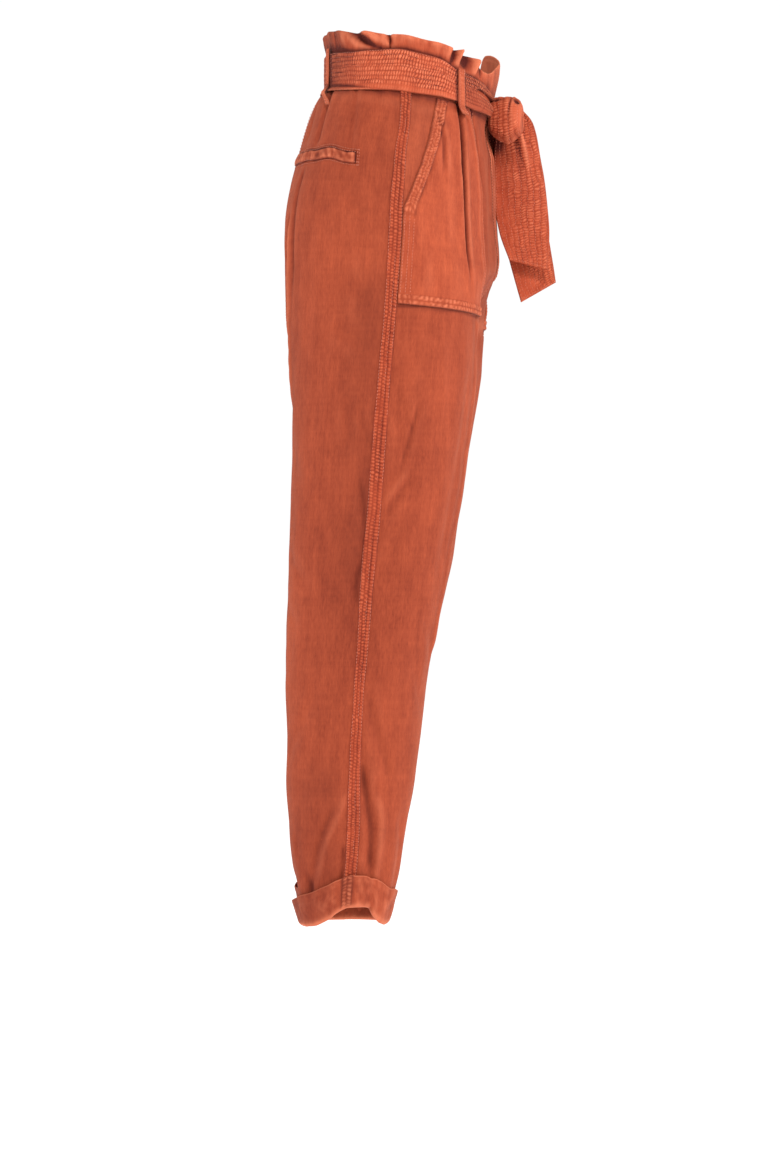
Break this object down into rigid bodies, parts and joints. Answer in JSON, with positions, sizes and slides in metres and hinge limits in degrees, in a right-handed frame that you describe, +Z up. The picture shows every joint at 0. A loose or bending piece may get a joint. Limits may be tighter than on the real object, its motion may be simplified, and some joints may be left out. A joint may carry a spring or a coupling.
{
  "type": "paperbag waist trousers",
  "caption": "Tapered high-waist trousers with a gathered paperbag waist, tied sash belt, patch pockets, raised side seams and turned-up cuffs, in the hollow shape they are worn in.",
  "frame": {"origin": "centre of the waist, at half the height of the belt", "axes": "+Z up, -Y the front of the garment, -X the wearer's right"},
  "size_m": [0.3736, 0.2916, 0.9503],
  "materials": {
    "cloth": "soft garment-dyed twill, rust, slightly streaked",
    "belt_cloth": "the same twill, doubled and quilted with close rows of stitching"
  },
  "bodies": {
    "root": {"back_left": "cloth", "back_right": "cloth", "belt": "belt_cloth", "cuff_left": "cloth", "cuff_right": "cloth", "fly": "cloth", "front_left": "cloth", "front_right": "cloth", "knot": "belt_cloth", "loop_back_left": "cloth", "loop_back_right": "cloth", "loop_front_left": "cloth", "loop_front_right": "cloth", "pocket_left": "cloth", "pocket_right": "cloth", "seam_left": "cloth", "seam_right": "cloth", "tail_far": "belt_cloth", "tail_near": "belt_cloth", "waist_back": "cloth", "waist_front_left": "cloth", "waist_front_right": "cloth", "welt_left": "cloth", "welt_right": "cloth"}
  },
  "joints": []
}
